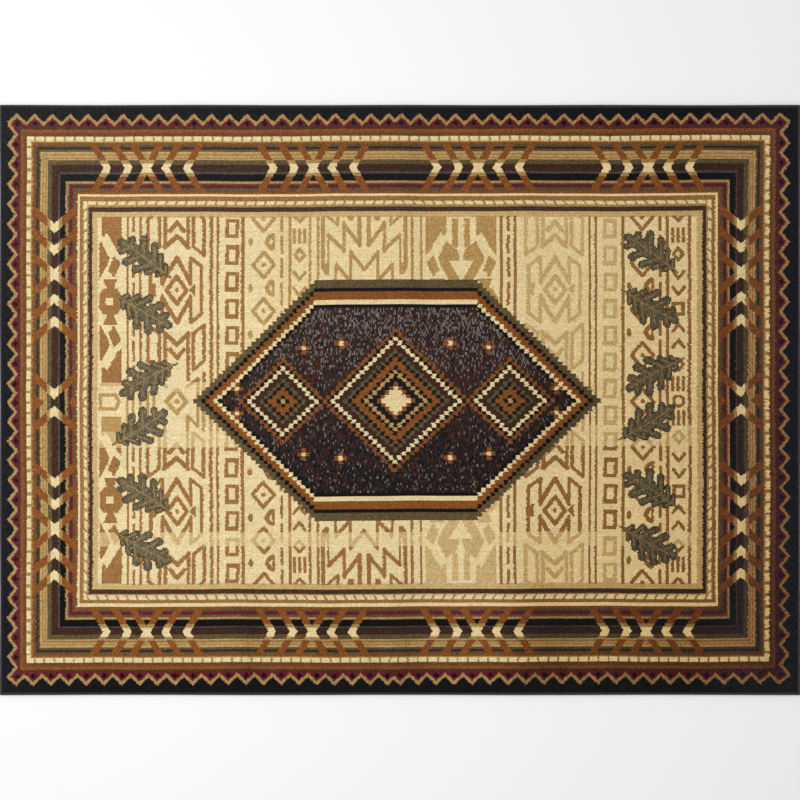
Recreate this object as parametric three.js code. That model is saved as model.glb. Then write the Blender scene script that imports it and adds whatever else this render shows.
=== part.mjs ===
// A machine-woven area rug lying flat: one woven slab of pile, with a serged edge sewn along each side.
// Millimetres. +X runs along the rug's length, +Y across it and +Z up. The floor is z = 0, and the
// origin is on the floor under the rug's middle.
import * as THREE from 'three';
import { mergeVertices } from 'three/addons/utils/BufferGeometryUtils.js';

// Driving dimensions
const RUG_LENGTH = 2170;
const RUG_WIDTH = 1600;
const PILE_TOP = 9.4; // floor to the tips of the pile, away from any fold mark
const SEWN_GAP = 0.3; // between two pieces that touch

// The woven slab's surface
const PILE_WAVE = { rise: 0.25, length: 610, width: 830 }; // slow unevenness of the whole surface
const RIM_ROLL = { drop: 1.3, reach: 14 }; // the pile leans over towards the serging
const CELLS_ALONG = 66;
const CELLS_ACROSS = 14;

// Soft marks of the folds that the rug was packed in. Each runs across the rug at x, and swings from
// side to side as it goes. A negative rise is a trough.
const FOLD_MARKS = [
  { x: -326, rise: 1.0, reach: 42, swing: 9 },
  { x: 34, rise: 1.2, reach: 48, swing: 6 },
  { x: 228, rise: -0.8, reach: 40, swing: 7 },
  { x: 318, rise: 1.4, reach: 55, swing: 10 },
];
const FOLD_SWING_LENGTH = 1300;

// The serged edge, a bead of yarn wrapped round the rim: its foot and shoulder are shares of its size
const SERGING = { width: 8.5, height: 8.2, foot: 0.28, shoulder: 0.74 };
const SERGING_ARC = { from: 60, to: 210, steps: 10 }; // degrees about the bead's middle
const RIM_PULL = 0.9; // how far the yarn's tension draws the rim in between its straight places
const RIM_STEP = 90; // length of one step along the rim

const WOVEN_LENGTH = RUG_LENGTH - 2 * (SERGING.width + SEWN_GAP);
const WOVEN_WIDTH = RUG_WIDTH - 2 * (SERGING.width + SEWN_GAP);

const pileYarn = new THREE.MeshStandardMaterial({ name: 'pile', color: 0xa88356, roughness: 0.95, metalness: 0 });
const sergingYarn = new THREE.MeshStandardMaterial({ name: 'serging', color: 0x2a292c, roughness: 0.8, metalness: 0 });

function foldHeight(mark, x, y) {
  const middle = mark.x + mark.swing * Math.sin((2 * Math.PI * y) / FOLD_SWING_LENGTH);
  return mark.rise * Math.exp(-(((x - middle) / mark.reach) ** 2));
}

function pileHeight(x, y) {
  const toRim = Math.min(WOVEN_LENGTH / 2 - Math.abs(x), WOVEN_WIDTH / 2 - Math.abs(y));
  const roll = RIM_ROLL.drop * Math.max(0, 1 - toRim / RIM_ROLL.reach);
  const folds = FOLD_MARKS.reduce((sum, mark) => sum + foldHeight(mark, x, y), 0);
  const along = Math.sin((2 * Math.PI * x) / PILE_WAVE.length);
  const across = Math.cos((2 * Math.PI * y) / PILE_WAVE.width);
  return PILE_TOP + folds + PILE_WAVE.rise * along * across - roll;
}

// Grid lines across a span about its middle: one at each end, one where the rim's roll starts, and the
// rest evenly between
function gridLines(span, cells) {
  const inner = span / 2 - RIM_ROLL.reach;
  const lines = Array.from({ length: cells - 1 }, (_, i) => -inner + (2 * inner * i) / (cells - 2));
  return [-span / 2, ...lines, span / 2];
}

// The slab is a box whose top is lifted to the pile's height and whose underside stays flat
function wovenSlab() {
  const box = new THREE.BoxGeometry(1, 1, 1, CELLS_ALONG, CELLS_ACROSS, 1);
  box.deleteAttribute('normal');
  box.deleteAttribute('uv');
  const geometry = mergeVertices(box);
  const xLines = gridLines(WOVEN_LENGTH, CELLS_ALONG);
  const yLines = gridLines(WOVEN_WIDTH, CELLS_ACROSS);
  const points = geometry.attributes.position;
  for (let i = 0; i < points.count; i += 1) {
    const x = xLines[Math.round((points.getX(i) + 0.5) * CELLS_ALONG)];
    const y = yLines[Math.round((points.getY(i) + 0.5) * CELLS_ACROSS)];
    points.setXYZ(i, x, y, points.getZ(i) < 0 ? 0 : pileHeight(x, y));
  }
  geometry.computeVertexNormals();
  return geometry;
}

// The bead's section as [depth in from the rim, height]: up the inner side, over the round and down to
// the foot
function beadSection() {
  const { width, height, foot, shoulder } = SERGING;
  const section = [[width, 0], [width, shoulder * height]];
  for (let i = 0; i <= SERGING_ARC.steps; i += 1) {
    const share = i / SERGING_ARC.steps;
    const angle = THREE.MathUtils.degToRad(SERGING_ARC.from + share * (SERGING_ARC.to - SERGING_ARC.from));
    section.push([(width / 2) * (1 + Math.cos(angle)), (height / 2) * (1 + Math.sin(angle))]);
  }
  section.push([foot * width, 0]);
  return section;
}

// A bead along +X with its rim on y = 0 and the rug on its +Y side. Its ends are mitred, because each
// point reaches as far along as its depth in from the rim leaves. The rim is drawn in `pulls` times.
function serging(length, pulls) {
  const section = beadSection();
  const steps = Math.round(length / RIM_STEP);
  const mitreGap = SEWN_GAP / Math.SQRT2;
  const points = [];
  for (let i = 0; i <= steps; i += 1) {
    const share = i / steps;
    const pull = RIM_PULL * Math.sin(pulls * Math.PI * share) ** 2;
    for (const [depth, height] of section) {
      const reach = length / 2 - depth - mitreGap;
      points.push((2 * share - 1) * reach, depth + pull * (1 - depth / SERGING.width), height);
    }
  }
  const count = section.length;
  const faces = [];
  for (let i = 0; i < steps; i += 1) {
    for (let j = 0; j < count; j += 1) {
      const near = i * count + j;
      const nearNext = i * count + ((j + 1) % count);
      faces.push(near, nearNext, nearNext + count, near, nearNext + count, near + count);
    }
  }
  const last = steps * count;
  for (let j = 1; j < count - 1; j += 1) {
    faces.push(0, j + 1, j, last, last + j, last + j + 1);
  }
  const geometry = new THREE.BufferGeometry();
  geometry.setAttribute('position', new THREE.Float32BufferAttribute(points, 3));
  geometry.setIndex(faces);
  geometry.computeVertexNormals();
  return geometry;
}

// The four edges, with how far each is turned from the front one and where the middle of its rim lies
const EDGES = [
  { name: 'serging_front', length: RUG_LENGTH, quarterTurns: 0, rim: [0, -RUG_WIDTH / 2], pulls: 3 },
  { name: 'serging_right', length: RUG_WIDTH, quarterTurns: 1, rim: [RUG_LENGTH / 2, 0], pulls: 2 },
  { name: 'serging_back', length: RUG_LENGTH, quarterTurns: 2, rim: [0, RUG_WIDTH / 2], pulls: 4 },
  { name: 'serging_left', length: RUG_WIDTH, quarterTurns: 3, rim: [-RUG_LENGTH / 2, 0], pulls: 3 },
];

const rug = new THREE.Group();

const slab = new THREE.Mesh(wovenSlab(), pileYarn);
slab.name = 'woven_rug';
rug.add(slab);

for (const edge of EDGES) {
  const bead = new THREE.Mesh(serging(edge.length, edge.pulls), sergingYarn);
  bead.name = edge.name;
  bead.position.set(edge.rim[0], edge.rim[1], 0);
  bead.rotation.z = edge.quarterTurns * (Math.PI / 2);
  rug.add(bead);
}

export default rug;
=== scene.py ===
import bpy
import numpy as np
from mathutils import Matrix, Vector


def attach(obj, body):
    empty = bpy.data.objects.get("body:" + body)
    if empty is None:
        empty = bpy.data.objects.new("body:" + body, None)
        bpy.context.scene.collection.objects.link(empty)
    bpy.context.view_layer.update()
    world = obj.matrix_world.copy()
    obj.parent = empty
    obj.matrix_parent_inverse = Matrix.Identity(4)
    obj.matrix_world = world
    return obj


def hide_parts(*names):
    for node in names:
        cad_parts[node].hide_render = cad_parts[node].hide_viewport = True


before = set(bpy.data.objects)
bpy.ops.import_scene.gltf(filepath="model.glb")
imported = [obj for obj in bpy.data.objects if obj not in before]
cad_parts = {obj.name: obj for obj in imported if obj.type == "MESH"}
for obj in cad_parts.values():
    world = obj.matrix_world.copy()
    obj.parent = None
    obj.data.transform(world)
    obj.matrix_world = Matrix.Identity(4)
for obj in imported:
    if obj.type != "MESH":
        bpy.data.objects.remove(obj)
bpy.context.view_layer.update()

# Camera
# The rug is looked at from straight above, far enough away that its borders stay parallel.
# Its length fills the picture from edge to edge.
RUG_LENGTH = 2.170
RUG_WIDTH = 1.600
PILE_TOP = 0.0094
CAMERA_RISE = 6.0
PICTURE_WIDTH = 2.1663
SENSOR_MM = 36.0

camera_data = bpy.data.cameras.new("camera")
camera_data.sensor_width = SENSOR_MM
camera_data.lens = SENSOR_MM * CAMERA_RISE / PICTURE_WIDTH
camera = bpy.data.objects.new("camera", camera_data)
camera.location = (0.0, 0.0, CAMERA_RISE + PILE_TOP)
bpy.context.scene.collection.objects.link(camera)
bpy.context.scene.camera = camera


# Ground weave
# The jute and cotton ground that every tuft is woven into: a flat stiff sheet, the size of the rug
# inside its edging. It lies on the floor, and its fine ribs of weft show on the underside.
EDGING_WIDTH = 0.0085
SEWN_GAP = 0.0003
WOVEN_LENGTH = RUG_LENGTH - 2 * (EDGING_WIDTH + SEWN_GAP)
WOVEN_WIDTH = RUG_WIDTH - 2 * (EDGING_WIDTH + SEWN_GAP)
GROUND_TOP = 0.0036
GROUND_RIBS = 178
GROUND_CORDS = 66
RIB_DEPTH = 0.0004
CLUMP_SHARE = 0.30
JUTE = (0.36, 0.26, 0.15)
# The jute's colour in painted shade, where a pick or a cord dips under the other
JUTE_SHADED = (0.20, 0.13, 0.07)


def new_piece(name, points, faces):
    """A piece at the origin, with its place in its mesh, from its points and its faces."""
    mesh = bpy.data.meshes.new(name)
    mesh.from_pydata(points, [], faces)
    mesh.update()
    piece = bpy.data.objects.new(name, mesh)
    bpy.context.scene.collection.objects.link(piece)
    return piece


def grid_faces(rows, columns, first=0):
    """The squares between rows by columns of points, turned so that the side with +Z up faces out."""
    corner = first + np.arange((rows - 1) * columns).reshape(rows - 1, columns)[:, :-1].ravel()
    return np.stack([corner, corner + 1, corner + 1 + columns, corner + columns], axis=1)


def rim_of(rows, columns):
    """The numbers of the points round a grid's rim, once round from its first point and back to it."""
    number = np.arange(rows * columns).reshape(rows, columns)
    ring = [number[0, :-1], number[:-1, -1], number[-1, :0:-1], number[:0:-1, 0]]
    return np.concatenate(ring)


def closed_slab(name, top, base_height):
    """A closed piece: the grid of points top, a wall straight down from its rim to base_height, and a base
    that is a fan from the middle of the rim's foot."""
    rows, columns = top.shape[:2]
    points = top.reshape(-1, 3)
    rim = rim_of(rows, columns)
    foot = points[rim].copy()
    foot[:, 2] = base_height
    middle = foot.mean(axis=0, keepdims=True)
    first = len(points)
    ring = first + np.arange(len(rim))
    after = np.roll(ring, -1)
    wall = np.stack([rim, ring, after, np.roll(rim, -1)], axis=1)
    centre = np.full(len(rim), first + len(rim))
    fan = np.stack([after, ring, centre], axis=1)
    faces = grid_faces(rows, columns).tolist() + wall.tolist() + fan.tolist()
    piece = new_piece(name, np.concatenate([points, foot, middle]), faces)
    ends = np.zeros(2 * len(piece.data.edges), np.int32)
    piece.data.edges.foreach_get("vertices", ends)
    on_rim = np.isin(ends, rim).reshape(-1, 2).all(axis=1)
    piece.data.attributes.new("sharp_edge", "BOOLEAN", "EDGE").data.foreach_set("value", on_rim)
    return piece


def set_sockets(node, values):
    """Gives a node's sockets their values by name."""
    for socket, value in values.items():
        node.inputs[socket].default_value = value


def fibre_group():
    """Yarn seen close: soft clumps about 6 mm across and single fibre ends under 1 mm, added in their
    shares as a height from 0 to 1, and stretched to a shade from about 0.8 to 1.2."""
    group = bpy.data.node_groups.new("yarn_fibre", "ShaderNodeTree")
    for name, value in (("Clump", 160.0), ("Fibre", 900.0)):
        size = group.interface.new_socket(name, in_out="INPUT", socket_type="NodeSocketFloat")
        size.default_value = value
    for name in ("Shade", "Height"):
        group.interface.new_socket(name, in_out="OUTPUT", socket_type="NodeSocketFloat")
    nodes, links = group.nodes, group.links
    enter = nodes.new("NodeGroupInput")
    leave = nodes.new("NodeGroupOutput")
    place = nodes.new("ShaderNodeTexCoord")
    both = nodes.new("ShaderNodeMath")
    both.operation = "MULTIPLY_ADD"
    both.inputs[1].default_value = CLUMP_SHARE
    share = nodes.new("ShaderNodeMath")
    share.operation = "MULTIPLY"
    share.inputs[1].default_value = 1 - CLUMP_SHARE
    ends = {"Detail": 2.0, "Roughness": 0.7}
    for size, values, sum_node in (("Clump", {"Detail": 3.0}, both), ("Fibre", ends, share)):
        noise = nodes.new("ShaderNodeTexNoise")
        set_sockets(noise, values)
        links.new(place.outputs["Object"], noise.inputs["Vector"])
        links.new(enter.outputs[size], noise.inputs["Scale"])
        links.new(noise.outputs["Fac"], sum_node.inputs[0])
    links.new(share.outputs[0], both.inputs[2])
    shade = nodes.new("ShaderNodeMapRange")
    set_sockets(shade, {"From Min": 0.3, "From Max": 0.7, "To Min": 0.8, "To Max": 1.2})
    links.new(both.outputs[0], shade.inputs["Value"])
    links.new(shade.outputs["Result"], leave.inputs["Shade"])
    links.new(both.outputs[0], leave.inputs["Height"])
    return group


yarn_fibre = fibre_group()


def fibre_material(name, finish, scales):
    """A material with its finish, and the fibre at the given scales for its shade."""
    material = bpy.data.materials.new(name)
    material.use_nodes = True
    nodes = material.node_tree.nodes
    set_sockets(nodes["Principled BSDF"], finish)
    fibre = nodes.new("ShaderNodeGroup")
    fibre.node_tree = yarn_fibre
    set_sockets(fibre, scales)
    return material, nodes, material.node_tree.links, fibre


def join_surface(nodes, links, colour, shade, height, relief):
    """Joins a colour times a shade, and a bump from a height, to the material's surface."""
    surface = nodes["Principled BSDF"]
    mix = nodes.new("ShaderNodeMix")
    mix.data_type = "RGBA"
    mix.blend_type = "MULTIPLY"
    mix.inputs["Factor"].default_value = 1.0
    links.new(colour, mix.inputs[6])
    links.new(shade, mix.inputs[7])
    links.new(mix.outputs[2], surface.inputs["Base Color"])
    bump = nodes.new("ShaderNodeBump")
    set_sockets(bump, relief)
    links.new(height, bump.inputs["Height"])
    links.new(bump.outputs["Normal"], surface.inputs["Normal"])


def ground_material():
    """Plain weave: jute picks across, cotton cords along, each painted darker as painted shade where it
    dips under the other.
    """
    material, nodes, links, fibre = fibre_material("ground_weave", {"Roughness": 0.95}, {})
    place = nodes.new("ShaderNodeTexCoord")
    crossing = nodes.new("ShaderNodeMath")
    crossing.operation = "MULTIPLY"
    for number, (direction, scale, distortion, detail) in enumerate((("X", 60, 1.5, 1), ("Y", 50, 1, 2))):
        bands = nodes.new("ShaderNodeTexWave")
        bands.bands_direction = direction
        set_sockets(bands, {"Scale": scale, "Distortion": distortion, "Detail": detail})
        links.new(place.outputs["Object"], bands.inputs["Vector"])
        links.new(bands.outputs["Fac"], crossing.inputs[number])
    # Painted shade: where a yarn dips under the other, the ramp gives the shaded jute colour
    ramp = nodes.new("ShaderNodeValToRGB")
    ramp.color_ramp.elements[0].color = (*JUTE_SHADED, 1)
    ramp.color_ramp.elements[1].color = (*JUTE, 1)
    ramp.color_ramp.elements[1].position = 0.6
    height = crossing.outputs[0]
    links.new(height, ramp.inputs["Fac"])
    relief = {"Strength": 0.6, "Distance": 0.0006}
    join_surface(nodes, links, ramp.outputs["Color"], fibre.outputs["Shade"], height, relief)
    return material


def ground_weave():
    """A flat top at GROUND_TOP and an underside whose ribs rise by RIB_DEPTH between the picks, upside down
    in the grid so that it faces the floor."""
    x, y = np.meshgrid(
        np.linspace(WOVEN_LENGTH / 2, -WOVEN_LENGTH / 2, 2 * GROUND_RIBS + 1),
        np.linspace(-WOVEN_WIDTH / 2, WOVEN_WIDTH / 2, GROUND_CORDS + 1),
    )
    rib = np.where(np.arange(2 * GROUND_RIBS + 1) % 2 == 1, RIB_DEPTH, 0.0)
    underside = np.stack([x, y, np.broadcast_to(rib, x.shape)], axis=-1)
    piece = closed_slab("ground_weave", underside, GROUND_TOP)
    piece.data.materials.append(ground_material())
    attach(piece, "root")
    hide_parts("woven_rug")
    return piece


ground = ground_weave()


# Pile: yarns and the drawing
# Short cut pile, one knot for every 2.8 by 3.2 mm, each of one dyed yarn. The drawing is charted in knots
# from its middle: u runs along the rug's length, v along its width. It came off the loom a little askew.

# A knot's length left and right of the drawing's middle, its width above and below it, the middle's place,
# how askew it lies, a knot's width over its length, and the drawing's half length and half width in knots
KNOT_LEFT = 0.002823
KNOT_RIGHT = 0.002869
KNOT_UPPER = 0.003190
KNOT_LOWER = 0.003143
DRAWING_MIDDLE = (-0.01275, -0.0033)
DRAWING_SKEW = 0.002
TALL = 1.13
HALF_U = 379.5
HALF_V = 251.5

# Each yarn as a screen colour from 0 to 255
YARNS = {
    "charcoal": (18, 16, 22),
    "gold": (170, 136, 85),
    "maroon": (101, 30, 41),
    "rust": (135, 80, 34),
    "dark_rust": (110, 70, 37),
    "cream": (230, 209, 158),
    "olive": (96, 80, 51),
    "dark_brown": (61, 39, 29),
    "grey_brown": (83, 68, 58),
    "black": (15, 15, 16),
    "band_gold": (189, 154, 99),
    "band_line": (158, 122, 70),
    "rope_tan": (155, 113, 64),
    "inner_brown": (77, 49, 36),
    "frame_tan": (204, 174, 119),
    "field": (232, 211, 162),
    "motif": (158, 113, 65),
    "gold_motif": (183, 147, 88),
    "light_motif": (205, 175, 120),
    "leaf_rim": (82, 71, 46),
    "leaf": (95, 85, 63),
    "leaf_light": (118, 107, 85),
    "vein": (152, 124, 75),
    "bark": (55, 36, 30),
    "bark_black": (24, 23, 27),
    "bark_grey": (116, 110, 105),
    "bark_rust": (84, 50, 32),
}
YARN = {name: number for number, name in enumerate(YARNS)}


def yarns_in_turn(rows, place):
    """The yarn of each place, from rows that give where each yarn ends. The last yarn goes on."""
    yarns = np.array([YARN[name] for _, name in rows])
    return yarns[np.searchsorted([end for end, _ in rows[:-1]], place)]


def near_line(u, v, points, width):
    """True within half of width of the open line through points, in knots of equal size each way."""
    nearest = np.full(u.shape, np.inf)
    for (u0, v0), (u1, v1) in zip(points, points[1:]):
        run = u1 - u0
        rise = (v1 - v0) * TALL
        across = u - u0
        along = (v - v0) * TALL
        share = np.clip((across * run + along * rise) / (run * run + rise * rise), 0, 1)
        nearest = np.minimum(nearest, np.hypot(across - share * run, along - share * rise))
    return nearest < width / 2


def inside_outline(u, v, corners):
    """True where a line straight up from the knot crosses the closed outline an odd number of times."""
    inside = np.zeros(u.shape, bool)
    for (u0, v0), (u1, v1) in zip(corners, corners[1:] + corners[:1]):
        if u0 != u1:
            spans = (u0 > u) != (u1 > u)
            inside ^= spans & (v < v0 + (u - u0) * (v1 - v0) / (u1 - u0))
    return inside


# Pile: the borders
# Mitred stripes in from the edge, with a zigzag outside, a row of dentils, crosses and chevrons laid over
# the broad stripes, and a twisted rope next to the field. Sizes here are in knots, depths from the edge.

# Each row is the depth that a stripe reaches in to and its yarn
STRIPES = [
    (18.3, "maroon"), (20.0, "inner_brown"), (23.1, "rust"), (25.8, "dark_rust"), (29.8, "cream"),
    (31.3, "gold"), (33.3, "rust"), (35.4, "olive"), (37.4, "dark_brown"), (39.1, "olive"),
    (45.8, "band_gold"), (50.1, "olive"), (56.3, "dark_brown"), (57.8, "grey_brown"), (63.4, "black"),
    (65.5, "gold"), (66.9, "olive"), (70.0, "maroon"), (72.6, "olive"), (74.7, "rust"),
    (77.1, "cream"), (80.2, "rope_tan"), (80.7, "gold"), (84.1, "cream"), (85.5, "gold"),
    (89.3, "inner_brown"), (94.4, "frame_tan"),
]
BAND_LINES = (41.6, 44.2)
BAND_LINE_HALF = 0.65

# At the right and at the foot the stripes start RIM_MORE further in, and each side has its own tightness
RIM_MORE = 0.8
TIGHTNESS = {"left": 1.002, "right": 1.007, "upper": 0.991, "lower": 1.006}
ZIGZAG = {
    "peak": 8.6, "slope": 0.87, "half_line": 1.7, "top_step": 17.0, "side_step": 16.9,
    "top_first": 6.0, "side_first": 16.0, "top_last": 363.0, "side_last": 235.7,
    "corner_u": 16.5, "corner_v": 14.5, "corner_slope": 0.75,
    "diamond": 15.3, "diamond_half": 2.7, "diamonds_from": 22.0, "corner_diamond": (16.5, 15.5),
}

# The slides of a row are how far its motifs have slipped outwards in the upper left quarter, the upper
# right, the lower left and the lower right
DENTILS = {
    "from": 25.8, "to": 29.8, "whole_corner": 3.0, "top_pitch": 9.47, "side_pitch": 9.9,
    "top_gap": 0.95, "side_gap": 1.35,
    "top_slides": (0.0, -1.04, 0.3, -2.36), "side_slides": (-1.7, 0.0, 0.0, -1.2),
}
ROPE = {
    "from": 80.7, "to": 84.1, "left_pitch": 9.5, "right_pitch": 9.56, "side_pitch": 8.92,
    "gap": 1.15, "slant": 0.65,
    "top_slides": (0.34, -2.83, -0.53, -3.6), "side_slides": (1.19, 1.19, 2.76, 2.76),
}

# The zigzag and chevrons of the lower side lie a little to the left, the left side's a little lower
LOWER_SLIDE = 1.45
LOWER_SLIDE_FADE = {"from": -200.0, "over": 80.0}
LEFT_SLIDE = 0.7
CHEVRONS = {"middle": 52.7, "from": 31.4, "to": 74.2, "cream": 4.0, "gold": 7.1}
TOP_CHEVRONS = {
    "crosses": (78.5, 238.5), "tips": (14.0, 34.5), "lone_tips": (), "slope": 0.66, "thick": 7.3,
}
SIDE_CHEVRONS = {
    "crosses": (108.8,), "tips": (16.3, 35.3), "lone_tips": (3.0,), "slope": 0.75, "thick": 8.1,
}

# The two rust points in the middle of each side: the depths between which each lies, its tip and its slope
SIDE_POINTS = [(31.4, 43.5, 43.5, 0.72), (66.5, 74.2, 66.5, 0.85)]


def to_nearest(along, first, step):
    """How far a knot is from the nearest of first, first + step, first + 2 steps and so on."""
    return along - first - step * np.maximum(np.round((along - first) / step), 0)


def zigzag(cloth, du, dv, along, on_side):
    """A gold line whose depth is a triangle wave: charcoal outside it, maroon inside it, and a small black
    diamond under each peak. At a corner it runs on as one more peak of its own."""
    z = ZIGZAG
    depth = np.where(on_side, du, dv)
    first = np.where(on_side, z["side_first"], z["top_first"])
    last = np.where(on_side, z["side_last"], z["top_last"])
    off = np.abs(to_nearest(along, first, np.where(on_side, z["side_step"], z["top_step"])))
    off = np.where(along > last, along - last, off)
    off = np.where(on_side & (along < z["side_step"] / 2), along, off)
    line = z["peak"] + z["slope"] * off
    corner = (du < z["corner_u"]) & (dv < z["corner_v"])
    line = np.where(corner, z["peak"] + z["corner_slope"] * (z["corner_u"] - du), line)
    depth = np.where(corner, dv, depth)
    outer = depth < STRIPES[0][0]
    cloth[outer & (depth < line)] = YARN["charcoal"]
    diamond = off + np.abs(depth - z["diamond"]) < z["diamond_half"]
    diamond &= ~corner & (np.maximum(du, dv) > z["diamonds_from"])
    middle_u, middle_v = z["corner_diamond"]
    diamond |= np.abs(du - middle_u) + np.abs(dv - middle_v) < z["diamond_half"]
    cloth[outer & diamond] = YARN["black"]
    cloth[outer & (np.abs(depth - line) <= z["half_line"])] = YARN["gold"]


def slides(rule, u, v, on_side):
    """How far outwards a row's motifs have slipped in the quarter that a knot lies in."""
    quarter = 2 * (v > 0) + (u > 0)
    return np.where(on_side, np.take(rule["side_slides"], quarter), np.take(rule["top_slides"], quarter))


def dentils(cloth, depth, other, u, v, on_side):
    """Narrow gaps in the cream stripe, one to a pitch, with the corners left whole."""
    along = np.where(on_side, np.abs(v), np.abs(u)) - slides(DENTILS, u, v, on_side)
    pitch = np.where(on_side, DENTILS["side_pitch"], DENTILS["top_pitch"])
    half = np.where(on_side, DENTILS["side_gap"], DENTILS["top_gap"])
    gap = np.abs(to_nearest(along, np.where(on_side, 0.0, pitch / 2), pitch)) < half
    stripe = (depth > DENTILS["from"]) & (depth < DENTILS["to"])
    stripe &= other > DENTILS["to"] + DENTILS["whole_corner"]
    cloth[stripe & gap] = YARN["gold"]


def rope(cloth, depth, other, u, v, on_side):
    """Slanting gaps in the inner cream stripe, one to a pitch, mirrored from quarter to quarter."""
    stripe = (depth > ROPE["from"]) & (depth < ROPE["to"]) & (other > ROPE["to"])
    along = np.where(on_side, np.abs(v), np.abs(u))
    slid = along - ROPE["slant"] * (depth - ROPE["from"]) - slides(ROPE, u, v, on_side)
    pitch = np.where(on_side, ROPE["side_pitch"], np.where(u < 0, ROPE["left_pitch"], ROPE["right_pitch"]))
    gap = np.abs((slid + pitch / 2) % pitch - pitch / 2) < ROPE["gap"]
    cloth[stripe & gap] = YARN["gold"]


def chevrons(cloth, depth, along, on_side, rule):
    """Arms that slope away from the middle depth: a cross where two arms meet, and a chevron at each tip to
    both sides of it. Each arm is cream in the middle, then gold, then rust."""
    out = np.abs(depth - CHEVRONS["middle"])
    slid = rule["slope"] * out
    arms = np.zeros(depth.shape, bool)
    for cross in rule["crosses"]:
        away = np.abs(along - cross)
        arms |= np.abs(away - slid) < rule["thick"] / 2
        for tip in rule["tips"]:
            arms |= (away > tip + slid) & (away < tip + slid + rule["thick"])
    for tip in rule["lone_tips"]:
        arms |= (along > tip + slid) & (along < tip + slid + rule["thick"])
    arms &= on_side & (depth > CHEVRONS["from"]) & (depth < CHEVRONS["to"])
    cloth[arms] = YARN["rust"]
    cloth[arms & (out < CHEVRONS["gold"])] = YARN["gold"]
    cloth[arms & (out < CHEVRONS["cream"])] = YARN["cream"]


def borders(u, v):
    """The yarn of each knot by its depth from the nearer edge, then the border's motifs over that."""
    rim_u = HALF_U - np.abs(u)
    rim_v = HALF_V - np.abs(v)
    du = (rim_u - RIM_MORE * (u > 0)) * np.where(u < 0, TIGHTNESS["left"], TIGHTNESS["right"])
    dv = (rim_v - RIM_MORE * (v > 0)) * np.where(v < 0, TIGHTNESS["upper"], TIGHTNESS["lower"])
    on_side = du < dv
    depth = np.minimum(du, dv)
    other = np.maximum(du, dv)
    along = np.where(on_side, np.abs(v - LEFT_SLIDE * (u < 0)), np.abs(u))
    cloth = yarns_in_turn(STRIPES + [(HALF_V, "field")], depth)
    for line in BAND_LINES:
        cloth[np.abs(depth - line) < BAND_LINE_HALF] = YARN["band_line"]
    slid = LOWER_SLIDE * (v > 0)
    zigzag(cloth, rim_u, rim_v, np.where(on_side, along, np.abs(u + slid)), on_side)
    dentils(cloth, depth, other, u, v, on_side)
    rope(cloth, depth, other, u, v, on_side)
    slid = slid * np.clip((u - LOWER_SLIDE_FADE["from"]) / LOWER_SLIDE_FADE["over"], 0, 1)
    chevrons(cloth, depth, np.abs(u + slid), ~on_side, TOP_CHEVRONS)
    chevrons(cloth, depth, along, on_side, SIDE_CHEVRONS)
    for low, high, tip, slope in SIDE_POINTS:
        point = (depth > low) & (depth < high) & (along < slope * np.abs(depth - tip))
        cloth[on_side & point] = YARN["rust"]
    return cloth


# Pile: the field's columns
# Upright columns of geometric signs on cream, most of them mirrored about the field's middle row. A chart
# is in knots from its column's middle, u to either side, and rows from the row that it mirrors about.
FIELD_U = 284.0
FIELD_V = 157.6
RING_CHART = {
    "mirror": 85.0,
    "solids": [
        [(14, 72), (33.5, 72), (33.5, 38.5), (28.5, 43.5), (27, 47), (19, 58.5), (16, 55), (14, 57)],
        [(2.8, 70), (8.4, 70), (8.2, 46.5), (4.5, 45), (2.8, 46)],
        [(1.6, 37), (3.8, 43.5), (8, 46.5), (14, 51), (22, 37), (21, 33), (12, 18.5), (5.8, 5), (5, -2),
         (1.2, -2), (1.8, 19.5), (11.8, 34.2), (1.6, 34.2)],
        [(26, 39), (32.6, 33.5), (32.2, 30.5), (26.7, 21), (24.5, 21.3), (24.3, 24), (20.2, 25.7)],
        [(15.6, 19.6), (29.5, 19.6), (25.3, 10), (20, 10)],
        [(9.2, -2), (9.2, 2), (15.6, 10.8), (29.6, 10.8), (35.4, 2), (35.4, -2)],
    ],
    "holes": [[(18, -4), (25.3, -4), (25.3, 2.8), (18, 2.8)]],
    "lines": [],
}
RING_STOPS = 12.8
ARROW = [(13, 6), (28.3, 6), (30.8, 0), (28.3, -6), (13, -6), (13, 6)]
ARROW_LINE = 3.8
CHEVRON_CHART = {
    "mirror": 94.5,
    "solids": [
        [(0, 2.6), (2.2, 0), (0, -2.6)],
    ],
    "holes": [],
    "lines": [
        (4.2, [(0, 57.5), (6.5, 50.5)]),
        (4.4, [(0, 46), (11, 36.5)]),
        (3.3, [(10.6, 36), (10.6, 77.5)]),
        (4.3, [(0, 27.5), (12.8, 7)]),
        (3.4, [(13, 5), (13, 27.5), (23.4, 20), (23.4, -1)]),
        (4.0, [(0, 11.6), (9.3, 0)]),
        (3.4, [(15.6, 67.5), (15.6, 37), (25.8, 29.5), (25.8, 60.3), (15.6, 67.5)]),
    ],
}
CHEVRON_MIDDLE = {
    "wider_left": 1.08,
    "stops": 17.0,
    "right_tab": [(11.8, -1), (11.8, 0.5), (18, 5.8), (18, -1)],
    "left_tab": {"place": 20.0, "half": 1.5, "row": 5.6},
    "dot": 2.5,
    "lines": [
        (4.0, [(0, 10), (9.1, 0), (0, -10)]),
        (3.2, [(9.2, -12.5), (20.4, -19.5), (20, 21.5), (10.6, 12.6), (10.6, 18)]),
        (3.2, [(25.7, -23.5), (25.7, 25.3)]),
    ],
}
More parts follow.
